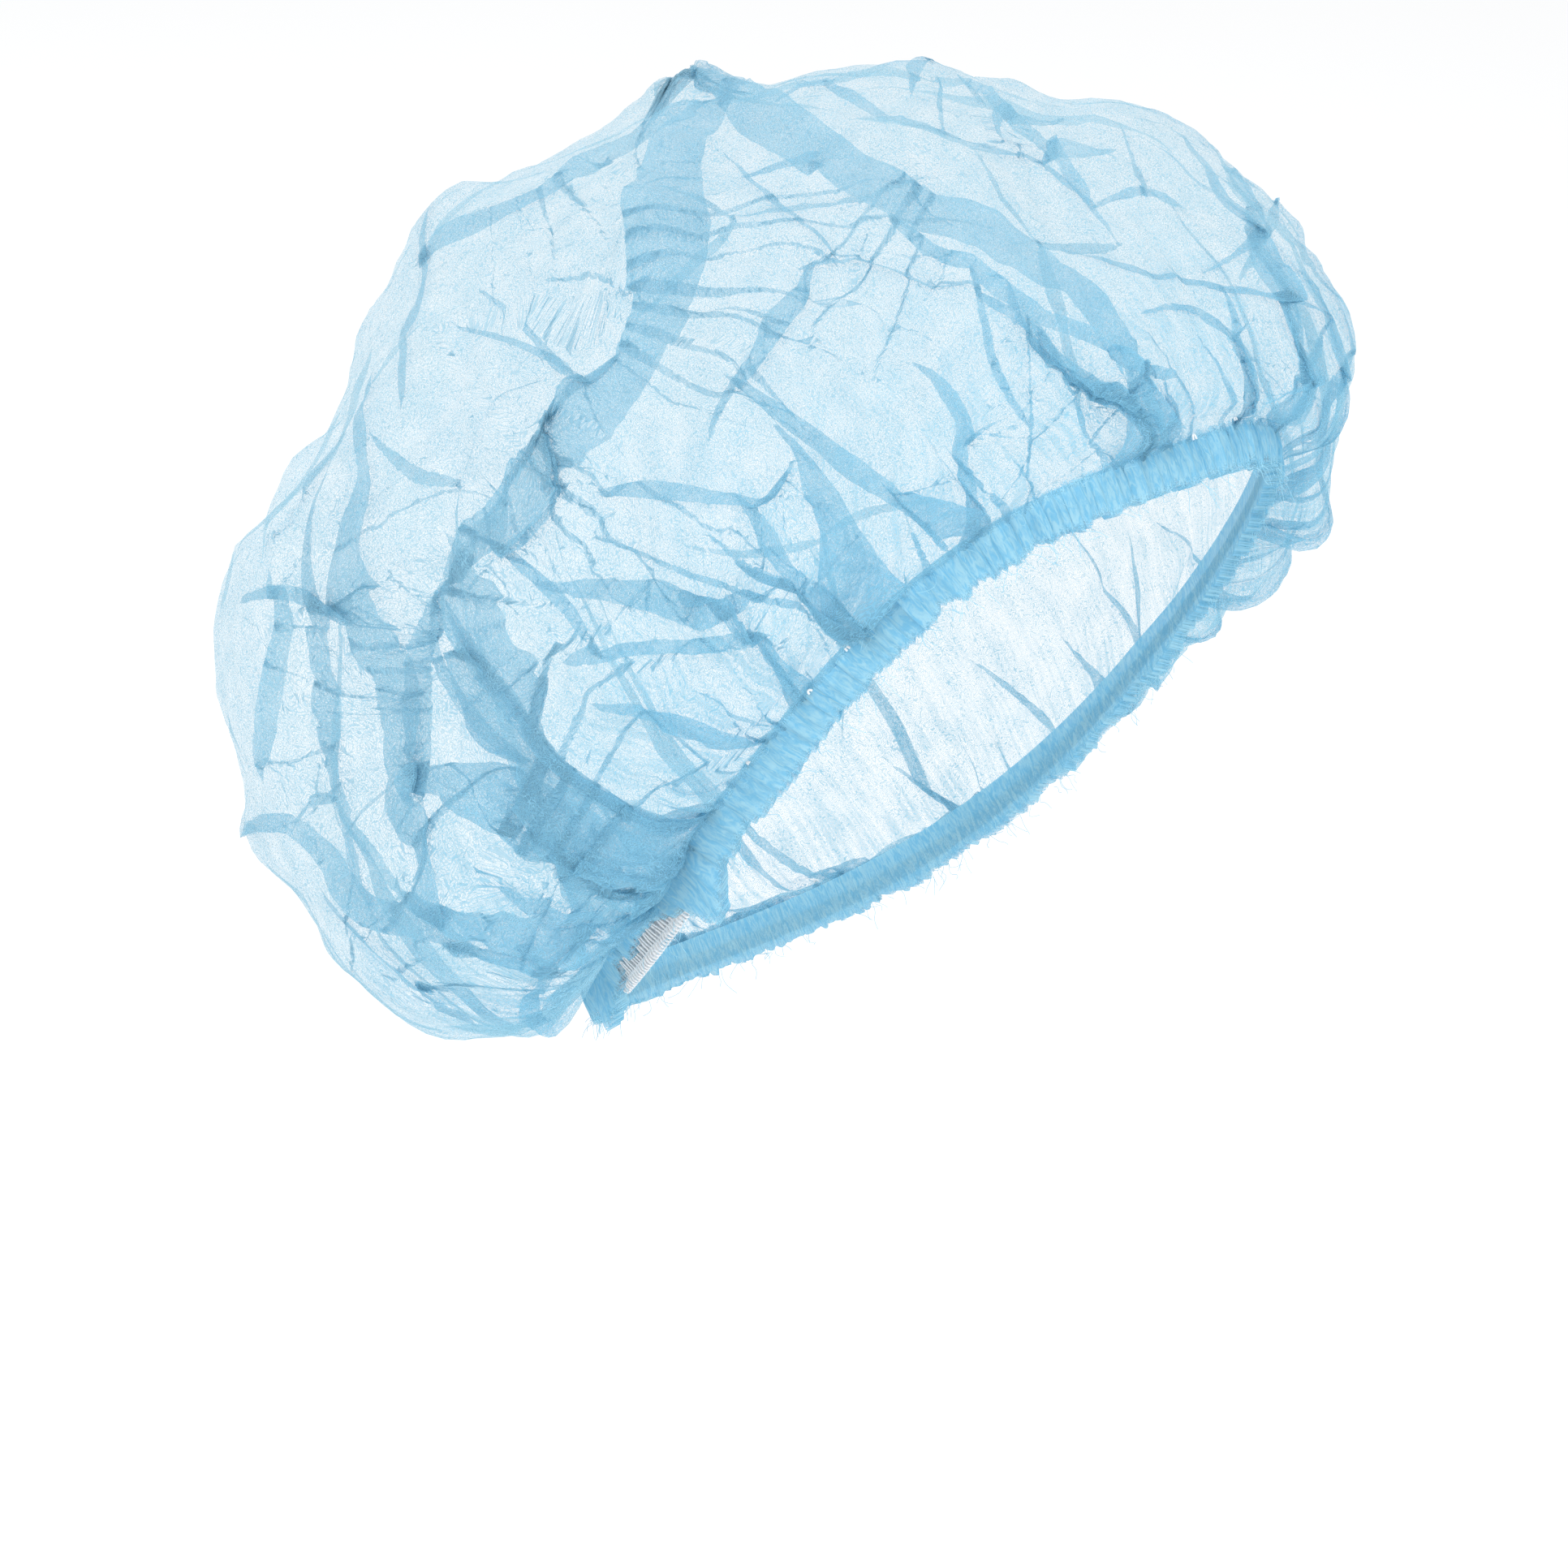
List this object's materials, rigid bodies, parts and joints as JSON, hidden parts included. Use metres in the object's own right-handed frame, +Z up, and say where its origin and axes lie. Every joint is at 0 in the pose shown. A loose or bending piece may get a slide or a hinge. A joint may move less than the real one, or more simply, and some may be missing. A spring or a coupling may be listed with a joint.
{
  "type": "disposable hairnet",
  "caption": "Puffed bouffant hair cap of thin translucent nonwoven cloth, gathered into a ruffled hem over a flat elastic.",
  "frame": {"origin": "middle of the opening for the wearer's head, in the plane of the elastic's front and back", "axes": "+Z up as worn, -Y the way the wearer faces, +X to the wearer's left; the opening faces down and forward"},
  "size_m": [0.2157, 0.2191, 0.2151],
  "materials": {
    "nonwoven_cloth": "light blue spunbond nonwoven, see-through, with a fine web of curled fibres, matt",
    "hem_cloth": "the same light blue nonwoven gathered several layers deep, denser and more saturated, matt",
    "white_elastic": "white braided elastic covered with white overlock stitches, matt"
  },
  "bodies": {
    "root": {"crown": "nonwoven_cloth", "gathered_hem": "hem_cloth", "elastic_band": "white_elastic"}
  },
  "joints": []
}
